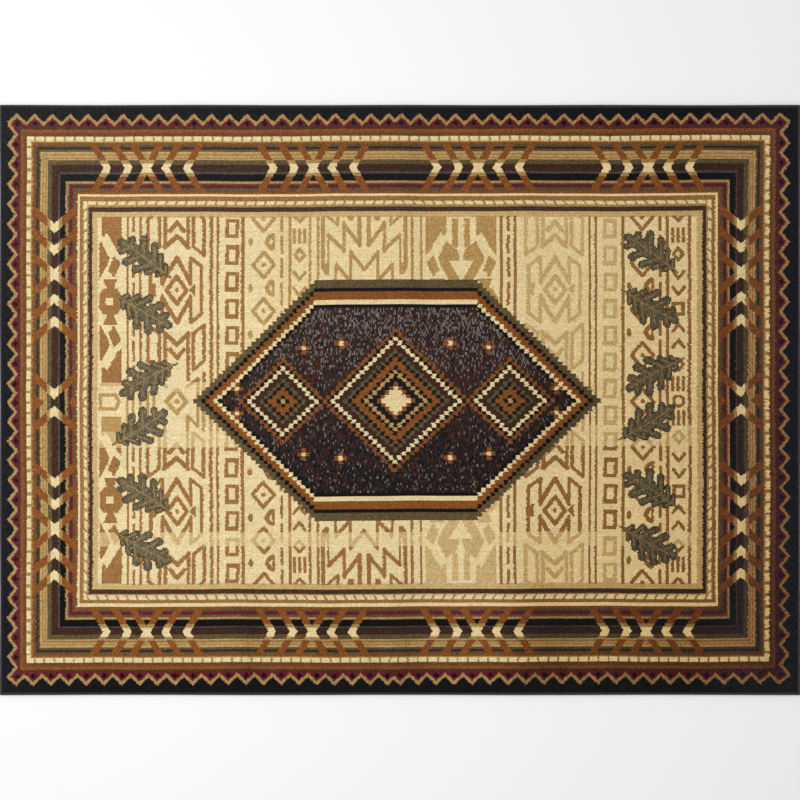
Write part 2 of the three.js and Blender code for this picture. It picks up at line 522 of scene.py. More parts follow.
ZIGZAG_CHART = {
    "mirror": 85.0,
    "solids": [
        [(9.5, 73), (17, 73), (15, 68), (10.5, 68)],
        [(33.3, 32.3), (41.5, 32.3), (41.5, 28.5), (37.5, 22.5), (33.5, 22.5)],
    ],
    "holes": [],
    "lines": [
        (4.4, [(4.4, 73), (4.4, 47.5)]),
        (4.0, [(4.0, 47.5), (19.5, 65)]),
        (3.2, [(19.4, 66.5), (19.4, 42)]),
        (3.8, [(19.4, 43), (34.3, 56)]),
        (2.0, [(34.3, 56), (34.3, 31)]),
        (3.6, [(39.6, 73), (39.6, 31)]),
        (3.0, [(36, 73), (25.5, 64.5), (25.5, 73)]),
        (3.6, [(0, 26.5), (12.9, 41)]),
        (3.0, [(12.9, 42), (12.9, 16.5)]),
        (3.8, [(12.9, 17), (26.8, 30.5)]),
        (2.8, [(26.7, 31.5), (28.4, 2)]),
        (3.0, [(0, 17.2), (7, 12.6)]),
        (3.0, [(0, 9), (6.5, 1.5)]),
        (3.0, [(7.2, 2), (13.8, 9.8), (22, 3), (18, -4)]),
        (3.0, [(28.4, 1), (39.7, 12.6), (39.7, -3)]),
    ],
}
LOOP = {"lean": 0.06, "half": 6.6, "row": 8.4, "hole_half": 3.1, "hole_row": 5.0}
DOTTED_DIAMOND = {
    "line": 3.6,
    "corners": [(0, 10.7), (10.3, 0)],
    "dot": 2.3,
    "triangle": [(0.5, 0), (4, -5.5), (8, -7.6), (10.8, -6.6), (10.8, 6.8), (8, 7.6), (4, 5.5)],
    "triangle_hole": [(5, 0), (8.2, -3.5), (8.2, 3.5)],
    "grain": {"place": 12.6, "half": 2.3, "row": 3.6},
}
SIGNS = {
    "mirror": 77.8,
    "box": {"half": 6.2, "row": 6.1, "hole_half": 2.9, "hole_row": 3.1},
    "line": 3.2,
    "hooks": [[(0, 12.4), (5.3, 18.6)], [(0, 26.0), (5.3, 32.2)]],
    "lozenge": {"row": 46.8, "corners": [(0, 5.1), (4.8, 0)]},
    "bars": {"row": 63.0, "half_row": 6.6, "middle": 1.6, "place": 5.0, "half": 1.5},
    "last_hook": [(0, 75), (4.8, 79.5)],
    "last_hook_stops": 20.0,
    "ring": {"radius": 4.8, "half": 1.6},
}
DASH_GAPS = (32.5, 53.5, 79.0, 103.0, 123.5, 142.5)
DASH_HALF = 1.8


def charted(chart):
    """A chart's motif: its solids and lines less its holes, mirrored to both sides and about its row."""
    def motif(u, v):
        side = np.abs(u)
        row = np.abs(np.abs(v) - chart["mirror"])
        knots = np.zeros(u.shape, bool)
        for corners in chart["solids"]:
            knots |= inside_outline(side, row, corners)
        for width, points in chart["lines"]:
            knots |= near_line(side, row, points, width)
        for corners in chart["holes"]:
            knots &= ~inside_outline(side, row, corners)
        return knots
    return motif


def ring_motif(u, v):
    """The ring chart, which stops short of the middle row, and there an outlined arrow on its side."""
    return charted(RING_CHART)(u, v) & (np.abs(v) > RING_STOPS) | near_line(u, v, ARROW, ARROW_LINE)


def chevron_motif(u, v):
    """The chevron chart above and below, drawn a little wider to the left, with a tab at each side of its
    diamonds. Across the middle rows lies a dotted diamond between bent lines."""
    middle = CHEVRON_MIDDLE
    u = np.where(u < 0, u / middle["wider_left"], u)
    row = np.abs(np.abs(v) - CHEVRON_CHART["mirror"])
    knots = charted(CHEVRON_CHART)(u, v) & (np.abs(v) > middle["stops"])
    knots |= inside_outline(u, row, middle["right_tab"])
    tab = middle["left_tab"]
    knots |= (np.abs(u + tab["place"]) < tab["half"]) & (row < tab["row"])
    knots |= np.hypot(u, v * TALL) < middle["dot"]
    for width, points in middle["lines"]:
        knots |= near_line(np.abs(u), v, points, width)
    return knots


def loop_motif(first, pitch):
    """Upright boxes one under another, each leaning a little."""
    def motif(u, v):
        row = (v - first + pitch / 2) % pitch - pitch / 2
        side = np.abs(u + LOOP["lean"] * row)
        hole = (side < LOOP["hole_half"]) & (np.abs(row) < LOOP["hole_row"])
        return (side < LOOP["half"]) & (np.abs(row) < LOOP["row"]) & ~hole
    return motif


def diamond_motif(first, pitch):
    """Dotted diamonds, and halfway between two of them a hollow triangle at one side and an oval grain at
    the other."""
    def motif(u, v):
        d = DOTTED_DIAMOND
        row = (v - first + pitch / 2) % pitch - pitch / 2
        between = (v - first) % pitch - pitch / 2
        knots = near_line(np.abs(u), np.abs(row), d["corners"], d["line"])
        knots |= np.hypot(u, row * TALL) < d["dot"]
        knots |= inside_outline(u, between, d["triangle"])
        knots &= ~inside_outline(u, between, d["triangle_hole"])
        grain = d["grain"]
        knots |= np.hypot((u + grain["place"]) / grain["half"], between / grain["row"]) < 1
        return knots
    return motif


def sign_motif(u, v):
    """Small signs one under another, mirrored about a box and about the ring in the field's middle row:
    hooks, a lozenge and three bars to each side of the box."""
    side = np.abs(u)
    row = np.abs(np.abs(v) - SIGNS["mirror"])
    box = SIGNS["box"]
    hole = (side < box["hole_half"]) & (row < box["hole_row"])
    knots = (side < box["half"]) & (row < box["row"]) & ~hole
    for hook in SIGNS["hooks"]:
        knots |= near_line(side, row, hook, SIGNS["line"])
    lozenge = SIGNS["lozenge"]
    knots |= near_line(side, np.abs(row - lozenge["row"]), lozenge["corners"], SIGNS["line"])
    bars = SIGNS["bars"]
    across = (side < bars["middle"]) | (np.abs(side - bars["place"]) < bars["half"])
    knots |= (np.abs(row - bars["row"]) < bars["half_row"]) & across
    last = near_line(side, row, SIGNS["last_hook"], SIGNS["line"])
    knots |= last & (np.abs(v) > SIGNS["last_hook_stops"])
    ring = SIGNS["ring"]
    knots |= np.abs(np.hypot(u, v * TALL) - ring["radius"]) < ring["half"]
    return knots


def line_motif(width, dashed=False):
    """An upright line, whole or with gaps at the same rows above and below the middle."""
    def motif(u, v):
        away = np.abs(np.abs(v)[:, None] - DASH_GAPS).min(axis=1)
        return (np.abs(u) < width / 2) & ((away > DASH_HALF) | (not dashed))
    return motif


# Each row is a column's middle, how far it reaches to either side, its motif and how its yarn changes. A
# line's number is its width. The two of a repeated motif are its first row and the rows to the next one.
COLUMNS = [
    (-295.9, 38, ring_motif, "left"), (-256.8, 3, line_motif(2.2), "left"),
    (-251.1, 3, line_motif(2.4, True), "left"), (-244.3, 3, line_motif(2.4), "left"),
    (-209.4, 32, chevron_motif, "left"), (-176.6, 3, line_motif(3.2), "left"),
    (-170.4, 3, line_motif(2.5), "left"), (-156.6, 9, loop_motif(-147.2, 22.74), "left"),
    (-146.3, 3, line_motif(3.6), "left"), (-126.4, 16, diamond_motif(-155.5, 39.3), "middle"),
    (-108.9, 3, line_motif(2.6, True), "middle"), (-101.2, 3, line_motif(2.8), "middle"),
    (-92.0, 7, sign_motif, "middle"), (-82.0, 3, line_motif(2.4), "middle"),
    (-74.3, 3, line_motif(2.5), "middle"), (-30.0, 43, charted(ZIGZAG_CHART), "middle"),
    (15.8, 3, line_motif(2.4), "middle"), (24.3, 3, line_motif(2.4), "middle"),
    (62.1, 36, charted(RING_CHART), "pale_below"),
    (99.9, 3, line_motif(2.9), "right"), (106.6, 3, line_motif(3.0, True), "right"),
    (113.2, 3, line_motif(2.9), "right"), (151.0, 32, chevron_motif, "pale_ends"),
    (183.6, 3, line_motif(2.3), "right"), (189.3, 3, line_motif(2.3), "right"),
    (202.8, 9, loop_motif(-146.5, 22.65), "pale_ends"), (214.8, 3, line_motif(3.1), "right"),
    (233.3, 16, diamond_motif(-156.2, 39.1), "right"), (250.0, 3, line_motif(3.2, True), "right"),
    (256.9, 3, line_motif(3.4), "right"), (267.3, 7, sign_motif, "right"),
    (277.7, 3, line_motif(3.1), "right"),
]


# Down a column the loom takes another bobbin at set rows: each yarn in turn, with the row that it ends at
COLUMN_YARNS = {
    "left": [
        (-16.6, "motif"), (-8, "light_motif"), (26, "gold_motif"), (40, "light_motif"),
        (113, "motif"), (125, "light_motif"), (FIELD_V, "motif"),
    ],
    "middle": [(60, "gold_motif"), (113, "motif"), (125, "light_motif"), (FIELD_V, "motif")],
    "pale_below": [(60, "gold_motif"), (FIELD_V, "light_motif")],
    "pale_ends": [(39, "light_motif"), (113, "motif"), (FIELD_V, "light_motif")],
    "right": [
        (20.5, "motif"), (39, "light_motif"), (113, "motif"), (125, "light_motif"), (FIELD_V, "motif"),
    ],
}


def field_columns(cloth, u, v):
    """Lays every column's motif into the field, in the column's own yarns."""
    for middle, reach, motif, kind in COLUMNS:
        inside = (np.abs(u - middle) < reach) & (np.abs(u) < FIELD_U) & (np.abs(v) < FIELD_V)
        near = np.flatnonzero(inside)
        knots = near[motif(u[near] - middle, v[near])]
        cloth[knots] = yarns_in_turn(COLUMN_YARNS[kind], v[knots])


# Pile: the leaves
# Oak leaves in two upright rows at the ends of the field, grey green with gold ribs. A leaf is a body that
# widens and narrows again, with round lobes out of both sides, and each lies at its own angle.
LEAF_LENGTH = 0.176
LEAF_WINDOW = (38, 36)
LEAF_LIGHT_SHARE = 0.45

# Each leaf's place to the side, its place down the field and its turn in degrees, then each upright row's
# middle and how much lower its leaves lie
LEAF_PLACES = [
    (1.5, -120.4, 215), (-2.9, -79.5, 29), (5.8, -20.5, 150),
    (-6.8, 22.3, -33), (1.2, 81.8, 212), (-4.2, 123.0, 28),
]
LEAF_ROWS = [(-240.3, 0.9), (241.8, -2.9)]

# In leaf lengths: the body's bars from and to and their two radii, the first one the midrib's own, then the
# lobes' reach along the leaf, reach across it and radius
LEAF_MIDDLE = 0.46
LEAF_BEND = {"rise": 0.03, "rate": 2.6}
LEAF_BODY = [(0.0, 0.93, 0.014, 0.068), (0.12, 0.56, 0.03, 0.13), (0.56, 0.88, 0.13, 0.07)]
LEAF_LOBES = [
    (0.17, 0.10, 0.042), (0.32, 0.17, 0.048), (0.49, 0.235, 0.062), (0.68, 0.215, 0.068),
    (0.83, 0.115, 0.060),
]
LOBE_AHEAD = 0.03
LOBE_ROOT = {"back": 0.7, "radius": 0.8}
LOBE_VEIN = {"back": 0.1, "across": 0.85}
LEAF_RIM = 0.018
LEAF_VEIN = 0.008


def capsule(t, s, start, end, r0, r1):
    """How far outside a round-ended bar a knot lies, whose radius goes from r0 to r1, and how far it is
    from the bar's middle line."""
    dt = end[0] - start[0]
    ds = end[1] - start[1]
    share = np.clip(((t - start[0]) * dt + (s - start[1]) * ds) / (dt * dt + ds * ds), 0, 1)
    away = np.hypot(t - start[0] - share * dt, s - start[1] - share * ds)
    return away - r0 - (r1 - r0) * share, away


def leaf(u, v, turn, first_side):
    """How far outside the leaf a knot lies and how far from its nearest rib, both in leaf lengths. t runs
    from the stem to the tip, s to either side, along a midrib bent like a sine."""
    x = u * KNOT_LEFT / LEAF_LENGTH
    y = v * KNOT_UPPER / LEAF_LENGTH
    angle = np.radians(turn)
    t = x * np.cos(angle) + y * np.sin(angle) + LEAF_MIDDLE
    s = y * np.cos(angle) - x * np.sin(angle)
    s = s - LEAF_BEND["rise"] * np.sin(LEAF_BEND["rate"] * t)
    bars = [capsule(t, s, (start, 0.0), (end, 0.0), r0, r1) for start, end, r0, r1 in LEAF_BODY]
    outside = np.minimum.reduce([bar[0] for bar in bars])
    rib = bars[0][1]
    for side in (-1, 1):
        for reach, across, radius in LEAF_LOBES:
            reach = reach + LOBE_AHEAD * (side == first_side)
            root = (reach - LOBE_ROOT["back"] * across, 0.0)
            lobe = capsule(t, s, root, (reach, side * across), radius * LOBE_ROOT["radius"], radius)
            vein_end = (reach - LOBE_VEIN["back"] * across, side * LOBE_VEIN["across"] * across)
            outside = np.minimum(outside, lobe[0])
            rib = np.minimum(rib, capsule(t, s, root, vein_end, 0, 0)[1])
    return outside, rib


def leaves(cloth, u, v, speck):
    """Lays the twelve leaves: an olive rim, grey inside with lighter knots among it, and gold ribs."""
    for middle, shift in LEAF_ROWS:
        for number, (across, row, turn) in enumerate(LEAF_PLACES):
            from_middle = u - middle - across
            from_row = v - row - shift
            inside = (np.abs(from_middle) < LEAF_WINDOW[0]) & (np.abs(from_row) < LEAF_WINDOW[1])
            near = np.flatnonzero(inside)
            outside, rib = leaf(from_middle[near], from_row[near], turn, 1 if number % 2 else -1)
            light = speck[near] < LEAF_LIGHT_SHARE
            cloth[near[outside < 0]] = YARN["leaf_rim"]
            cloth[near[outside < -LEAF_RIM]] = YARN["leaf"]
            cloth[near[(outside < -LEAF_RIM) & light]] = YARN["leaf_light"]
            cloth[near[(outside < 0) & (rib < LEAF_VEIN)]] = YARN["vein"]


# Pile: the medallion
# A long stepped medallion in the middle of the field, drawn in square blocks: bands round a heathered dark
# body, three stepped diamonds along its middle and small crosses between them.
BLOCK = (4.0, 3.5)
MEDALLION = {"long": 48, "tall": 29}
MEDALLION_BANDS = [(0, "olive"), (2, "black"), (3, "rust"), (5, "cream"), (6, "black"), (7, "bark")]
GREY_HEATHER = {"least": 0.05, "more": 0.30, "from": 10.0, "over": 70.0}
BLACK_HEATHER = {"least": 0.14, "more": 0.62, "from": -20.0, "over": 90.0}
RUST_HEATHER = {"around": 0.42, "half": 0.05}
DIAMOND_BANDS = ["rust", "bark_black", "cream", "dark_brown", "dark_brown", "olive", "bark_black", "rust",
                 "rust", "bark_black", "gold_motif", "bark_black", "bark_black", "rust", "cream"]
DIAMONDS = [(0, 17), (-27, 10), (27, 10)]
CROSSES = [(13, 14), (22, 13), (38, 3)]


def blocks(u, v):
    """Which block a knot lies in, counted across and along from the middle one."""
    return np.floor(u / BLOCK[0] + 0.5), np.floor(v / BLOCK[1] + 0.5)


def medallion(cloth, u, v, speck):
    """Bands by how many blocks a knot lies in from the stepped rim. The body is heathered with grey that
    grows upwards, black that grows downwards and a little rust. Diamonds and crosses lie over it."""
    across, along = blocks(u, v)
    sloping = MEDALLION["long"] - np.abs(across) - np.abs(along)
    inwards = np.minimum(sloping, MEDALLION["tall"] - np.abs(along))
    for first, name in MEDALLION_BANDS:
        cloth[inwards >= first] = YARN[name]
    body = inwards >= MEDALLION_BANDS[-1][0]
    g = GREY_HEATHER
    grey = g["least"] + g["more"] * np.clip((-v - g["from"]) / g["over"], 0, 1)
    b = BLACK_HEATHER
    black = b["least"] + b["more"] * np.clip((v - b["from"]) / b["over"], 0, 1)
    cloth[body & (speck < grey)] = YARN["bark_grey"]
    cloth[body & (speck > 1 - black)] = YARN["bark_black"]
    cloth[body & (np.abs(speck - RUST_HEATHER["around"]) < RUST_HEATHER["half"])] = YARN["bark_rust"]
    for middle, size in DIAMONDS:
        inwards = size - np.abs(across - middle) - np.abs(along)
        for step, name in enumerate(DIAMOND_BANDS):
            cloth[inwards >= step] = YARN[name]
    for place_across, place_along in CROSSES:
        away = np.abs(np.abs(across) - place_across) + np.abs(np.abs(along) - place_along)
        cloth[away == 1] = YARN["rust"]
        cloth[away == 0] = YARN["cream"]


# Pile: the knots
# The tufts stand 9.4 mm high with the soft waves and marks of a rug that was folded to be packed, and bend
# down towards the edging. Every knot is one face with its own yarn, its colour painted with shade and sheen
# for how the pile lies and takes the light.
KNOTS_LEFT = 376.7
KNOTS_RIGHT = 379.6
KNOTS_UPPER = 249.1
KNOTS_LOWER = 250.7
BORDER_KNOTS = 96
TUFT_UNEVEN = {"size": 0.00032, "most": 2.0}
WEFT_SLIP = 0.0003
ROW_SLIP = {"size": 0.15, "most": 2.2, "run": 8}

# Each row is how far the warp and weft wander, over what length and from what start
WANDERS = [(0.0006, 0.94, 0.3), (0.0006, 0.47, 1.9), (0.0003, 0.17, 0.7)]
WANDER_FADE = 0.024
PILE_WAVE = {"rise": 0.00025, "length": 0.610, "width": 0.830}
RIM_ROLL = {"drop": 0.0013, "reach": 0.014}

# Each row is a fold mark's place, its rise, its reach to either side and how far its line swings
FOLD_MARKS = [
    (-0.326, 0.0010, 0.042, 0.009), (0.034, 0.0012, 0.048, 0.006),
    (0.228, -0.0008, 0.040, 0.007), (0.318, 0.0014, 0.055, 0.010),
]
FOLD_SWING_LENGTH = 1.3
PILE_FOOT = 0.0034

# Painted shade for how the pile leans away from the light: the knots' colour is darkened in soft steps
# towards the right and along lines where the rug was folded. Each row is a place along the rug, a reach and
# an amount.
# The steps weaken towards the top as the table after them gives, the lines fade downwards, and the low
# lines show in the lower border alone.
SHADE_STEPS = [(-0.40, 0.09, 0.11), (0.30, 0.05, 0.43), (0.62, 0.25, 0.33), (0.98, 0.08, 0.25)]
SHADE_WEAKER = {"most": 0.40, "at": 0.6}
SHADE_LINES = [(-0.326, 0.022, 0.20), (0.034, 0.030, 0.26), (0.05, 0.300, 0.18), (0.228, 0.016, 0.16)]
SHADE_LINE_SWING = 0.008
SHADE_LINE_FADE = {"middle": 0.4, "over": 0.8, "least": 0.1}
LOW_SHADE_LINES = [
    (-0.406, 0.030, 0.40), (-0.190, 0.035, 0.36), (-0.080, 0.022, 0.36), (0.020, 0.050, 0.38),
    (0.400, 0.060, 0.30),
]
LOW_SHADE_LINE_FADE = {"from": 0.30, "over": 0.35}

# How yarn takes the light, painted into its colour: where the pile leans the colour is painted deeper as
# painted shade, dark yarn the most, and knots, dye lots and rows differ. A painted sheen is added, the veil
# of light that the tips scatter, most at the upper left, and a bluish one near both ends.
SHADE_DEEPENS = {"dark": 0.56, "light": 0.5}
KNOT_SPREAD = {"dark": 0.27, "light": 0.20}
LOTS = {"spread": 0.018, "rows": 60, "columns": 90}
ROW_SPREAD = 0.03
SHEEN_VEIL = {"most": 0.0125, "middle": 0.45, "along": 0.55, "level": 0.58, "across": 0.65, "least": 0.19}
LEAN_SHEEN = 0.004
END_SHEEN = (0.0047, 0.0042, 0.0066)
END_SHEEN_FADE = {"right_from": 0.80, "left_from": 0.93, "over": 0.15, "lower": 3.0}
LEAST_LIGHT = 0.002
seed = np.random.default_rng(27)


def pile_height(x, y):
    """The pile's height: its own, plus each fold mark's bell-shaped ridge along a slowly swinging line,
    plus a long wave, less the bend towards the edging."""
    height = np.full(x.shape, PILE_TOP)
    for place, rise, reach, swing in FOLD_MARKS:
        line = place + swing * np.sin(2 * np.pi * y / FOLD_SWING_LENGTH)
        height += rise * np.exp(-(((x - line) / reach) ** 2))
    wave = np.sin(2 * np.pi * x / PILE_WAVE["length"]) * np.cos(2 * np.pi * y / PILE_WAVE["width"])
    height += PILE_WAVE["rise"] * wave
    to_rim = np.minimum(WOVEN_LENGTH / 2 - np.abs(x), WOVEN_WIDTH / 2 - np.abs(y))
    return height - RIM_ROLL["drop"] * np.clip(1 - to_rim / RIM_ROLL["reach"], 0, 1)


def soft_noise(rows, columns, coarse_rows, coarse_columns):
    """Smooth noise of about unit size: a coarse grid of random values, stretched by straight lines between
    them both ways."""
    coarse = seed.normal(size=(coarse_rows, coarse_columns))
    down = np.linspace(0, coarse_rows - 1, rows)
    over = np.linspace(0, coarse_columns - 1, columns)
    low = np.minimum(down.astype(int), coarse_rows - 2)
    part = (down - low)[:, None]
    tall = coarse[low] * (1 - part) + coarse[low + 1] * part
    left = np.minimum(over.astype(int), coarse_columns - 2)
    part = over - left
    return tall[:, left] * (1 - part) + tall[:, left + 1] * part


def painted_pile_shade(x, y):
    """The painted shade: how far the pile leans away from the light, 0 at the left, as the amount to darken
    its
    colour by: soft S-shaped steps towards the right, and bell-shaped lines where the rug was folded."""
    lean = np.zeros(x.shape)
    lower = 1 - SHADE_WEAKER["most"] * np.clip(y / SHADE_WEAKER["at"], -1, 1)
    for place, reach, amount in SHADE_STEPS:
        lean += amount * lower / (1 + np.exp(-(x - place) / (reach / 3)))
    fade = np.clip(SHADE_LINE_FADE["middle"] + y / SHADE_LINE_FADE["over"], SHADE_LINE_FADE["least"], 1)
    for place, reach, amount in SHADE_LINES:
        swung = x - place - SHADE_LINE_SWING * np.sin(2 * np.pi * y / FOLD_SWING_LENGTH)
        lean += amount * np.exp(-((swung / reach) ** 2)) * fade
    fade = np.clip(-(y + LOW_SHADE_LINE_FADE["from"]) / LOW_SHADE_LINE_FADE["over"], 0, 1)
    for place, reach, amount in LOW_SHADE_LINES:
        lean += amount * np.exp(-(((x - place) / reach) ** 2)) * fade
    return lean


def knot_lines():
    """Where the lines between knots lie in the drawing, from the left and from the top."""
    columns = round(KNOTS_LEFT + KNOTS_RIGHT)
    rows = round(KNOTS_UPPER + KNOTS_LOWER)
    across = np.linspace(-KNOTS_LEFT, KNOTS_RIGHT, columns + 1)
    return across, np.linspace(-KNOTS_UPPER, KNOTS_LOWER, rows + 1)


def woven_place(u, v):
    """Where a point of the drawing lies on the rug. The warp and weft wander a little and the drawing is
    askew, and both fade out towards the straight cut edges."""
    x = DRAWING_MIDDLE[0] + u * np.where(u < 0, KNOT_LEFT, KNOT_RIGHT)
    y = DRAWING_MIDDLE[1] - v * np.where(v < 0, KNOT_UPPER, KNOT_LOWER)
    to_rim = np.minimum(WOVEN_LENGTH / 2 - np.abs(x), WOVEN_WIDTH / 2 - np.abs(y))
    fade = np.clip(to_rim / WANDER_FADE, 0, 1)
    move_x = np.zeros(x.shape)
    move_y = DRAWING_SKEW * x
    for size, length, start in WANDERS:
        move_x += size * np.sin(2 * np.pi * y / length + 3 * x + start)
        move_y += size * np.sin(2 * np.pi * x / length + 2 * y + start)
    move_x += WEFT_SLIP * seed.normal(size=(len(x), 1))
    return x + move_x * fade, y + move_y * fade


def knot_yarns():
    """The yarn of every knot. A row of knots slips a little along its weft, which frays upright lines."""
    u_lines, v_lines = knot_lines()
    u, v = np.meshgrid((u_lines[1:] + u_lines[:-1]) / 2, (v_lines[1:] + v_lines[:-1]) / 2)
    rows, columns = u.shape
    run, most = ROW_SLIP["run"], ROW_SLIP["most"]
    slips = np.repeat(seed.normal(size=(rows, columns // run + 1)), run, axis=1)[:, :columns]
    u = u + ROW_SLIP["size"] * (seed.normal(size=(rows, 1)) + slips).clip(-most, most)
    speck = np.repeat(seed.random((rows // 2 + 1, columns)), 2, axis=0)[:rows].ravel()
    u = u.ravel()
    v = v.ravel()
    cloth = borders(u, v)
    field_columns(cloth, u, v)
    leaves(cloth, u, v, speck)
    medallion(cloth, u, v, speck)
    return cloth.reshape(rows, columns)


def linear_light(colours):
    """Screen colours from 0 to 255 as linear light, by the usual curve for screens."""
    shown = np.array(colours) / 255
    return np.where(shown <= 0.04045, shown / 12.92, ((shown + 0.055) / 1.055) ** 2.4)


def painted_sheen(x, y, lean):
    """The painted sheen, the veil of light that the tips scatter, added to the colour: a slope along the
    rug times a slope across it, plus the ends' own, which on the left shows in the lower half alone, plus
    more where the pile leans."""
    along = np.clip(SHEEN_VEIL["middle"] - SHEEN_VEIL["along"] * x, 0, 1)
    sheen_amount = SHEEN_VEIL["most"] * along * np.clip(SHEEN_VEIL["level"] + SHEEN_VEIL["across"] * y, SHEEN_VEIL["least"], 1)
    fade = END_SHEEN_FADE
    past = np.where(x < 0, -x - fade["left_from"], x - fade["right_from"])
    end = np.clip(past / fade["over"], 0, 1) * np.where(x < 0, np.clip(-fade["lower"] * y, 0, 1), 1)
    return sheen_amount[..., None] + end[..., None] * np.array(END_SHEEN) + LEAN_SHEEN * lean


def dyed_with_painted_light(cloth, x, y):
    """Each yarn's colour as linear light, painted deeper as painted shade where the pile leans away from
    the light, plus the painted sheen, all times a little difference from knot to knot, from dye lot to dye
    lot and from row to row."""
    colour = linear_light(list(YARNS.values()))[cloth]
    lean = painted_pile_shade(x, y)[..., None]
    # Painted shade: the colour is darkened where the pile leans away from the light, dark yarn the most
    colour = colour * (1 - lean * (SHADE_DEEPENS["dark"] - SHADE_DEEPENS["light"] * colour))
    spread = KNOT_SPREAD["dark"] - KNOT_SPREAD["light"] * np.sqrt(colour.max(axis=-1))
    knot = np.exp(seed.normal(size=cloth.shape) * spread)
    lot = 1 + LOTS["spread"] * soft_noise(*cloth.shape, LOTS["rows"], LOTS["columns"])
    lot = lot + ROW_SPREAD * seed.normal(size=(cloth.shape[0], 1))
    # Painted sheen: the veil of light is added to the colour before the knot, lot and row differences
    return np.clip((colour + painted_sheen(x, y, lean)) * (knot * lot)[..., None], LEAST_LIGHT, 1)


# Cut pile is dull, with a soft sheen on its tips
PILE_FIBRE = {"Clump": 170.0, "Fibre": 950.0}
PILE_FINISH = {"Roughness": 0.95, "Specular IOR Level": 0.03, "Sheen Weight": 0.03, "Sheen Roughness": 0.6}
PILE_BUMP = {"Strength": 0.7, "Distance": 0.0012}


def yarn_material(name, layer, scales, finish, relief):
    """Yarn in the colours that a piece's own attribute holds, with fibre in its shade and in its bump."""
    material, nodes, links, fibre = fibre_material(name, finish, scales)
    dye = nodes.new("ShaderNodeVertexColor")
    dye.layer_name = layer
    shade, height = fibre.outputs["Shade"], fibre.outputs["Height"]
    join_surface(nodes, links, dye.outputs["Color"], shade, height, relief)
    return material


def pile_grid():
    """The knots' corners at the pile's height, each a little higher or lower, a row for each weft from the
    bottom of the drawing up."""
    x, y = woven_place(*np.meshgrid(*knot_lines()))
    x = x.clip(-WOVEN_LENGTH / 2, WOVEN_LENGTH / 2)
    y = y.clip(-WOVEN_WIDTH / 2, WOVEN_WIDTH / 2)
    uneven = seed.normal(size=x.shape).clip(-TUFT_UNEVEN["most"], TUFT_UNEVEN["most"])
    z = pile_height(x, y) + TUFT_UNEVEN["size"] * uneven
    return np.stack([x, y, z], axis=-1)[::-1]


def pile_panel(name, grid, colour, rows, columns, material):
    """One closed panel of the pile between two rows and two columns of knots, with each face's yarn colour
    on its corners. Its walls and base take the colour beside them."""
    piece = closed_slab(name, grid[rows[0]:rows[1] + 1, columns[0]:columns[1] + 1], PILE_FOOT)
    shown = colour[rows[0]:rows[1], columns[0]:columns[1]]
    knots = shown.reshape(-1, 3)
    sizes = np.zeros(len(piece.data.polygons), np.int32)
    piece.data.polygons.foreach_get("loop_total", sizes)
    hidden = len(sizes) - len(knots)
    around = np.concatenate([shown[0], shown[:, -1], shown[-1, ::-1], shown[::-1, 0]])
    around = np.resize(around, (hidden, 3))
    faces = np.concatenate([knots, around])
    corners = np.repeat(faces, sizes, axis=0)
    layer = piece.data.color_attributes.new("yarn", "FLOAT_COLOR", "CORNER")
    layer.data.foreach_set("color", np.concatenate([corners, np.ones((len(corners), 1))], axis=1).ravel())
    piece.data.polygons.foreach_set("use_smooth", np.arange(len(sizes)) < len(knots))
    piece.data.materials.append(material)
    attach(piece, "root")
    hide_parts("woven_rug")
    return piece


def pile_panels():
    """The pile in six panels: the borders along the four sides and the two halves of the field."""
    cloth = knot_yarns()[::-1]
    grid = pile_grid()
    centre = (grid[1:, 1:] + grid[:-1, :-1]) / 2
    # The yarns' colours, with painted shade and a painted sheen added
    colour = dyed_with_painted_light(cloth, centre[..., 0], centre[..., 1])
    material = yarn_material("pile", "yarn", PILE_FIBRE, PILE_FINISH, PILE_BUMP)
    wide, long = cloth.shape
    low = BORDER_KNOTS
    high = wide - BORDER_KNOTS
    left = BORDER_KNOTS
    right = long - BORDER_KNOTS
    middle = long // 2
    panels = [
        ("pile_border_bottom", (0, low), (0, long)),
        ("pile_border_top", (high, wide), (0, long)),
        ("pile_border_left", (low, high), (0, left)),
        ("pile_border_right", (low, high), (right, long)),
        ("pile_field_left", (low, high), (left, middle)),
        ("pile_field_right", (low, high), (middle, right)),
    ]
    return [pile_panel(name, grid, colour, rows, columns, material) for name, rows, columns in panels]


pile = pile_panels()


# Edging
# Serging: a filler cord along each cut edge, wrapped all round with charcoal yarn that is stitched through
# the rug's rim. Each side is one run, mitred where it meets the next, and drawn in a little between pulls.
EDGING_HEIGHT = 0.0082
EDGING_FOOT = 0.28
EDGING_SHOULDER = 0.74
EDGING_ARC = (60, 210, 6)
WRAP_PITCH = 0.0030
WRAP_GROOVE = 0.00055
WRAP_UNEVEN = {"size": 0.00012, "most": 0.0002}
WRAP_LEAN = 0.9
SHOULDER_SHOWS = 0.3
MITRE_POWER = 20
RIM_PULL = 0.0009

# Each side's name, its quarter turns round from the front and how many times it is drawn in
SIDES = [("serging_front", 0, 3), ("serging_right", 1, 2), ("serging_back", 2, 4), ("serging_left", 3, 3)]
EDGING_YARN = (58, 57, 60)
EDGING_GAMMA = 2.2
# Each ring's random tint, and painted shade that darkens the grooved rings, within limits
WRAP_TINT_AND_SHADE = {"spread": 0.10, "groove_shade": 0.5, "least": 0.4, "most": 1.4}

# Edge yarn is twisted, so it is a little smoother than cut pile
EDGING_FIBRE = {"Clump": 300.0, "Fibre": 1400.0}
EDGING_FINISH = {"Roughness": 0.85, "Specular IOR Level": 0.2, "Sheen Weight": 0.08, "Sheen Roughness": 0.5}
EDGING_BUMP = {"Strength": 0.6, "Distance": 0.0006}


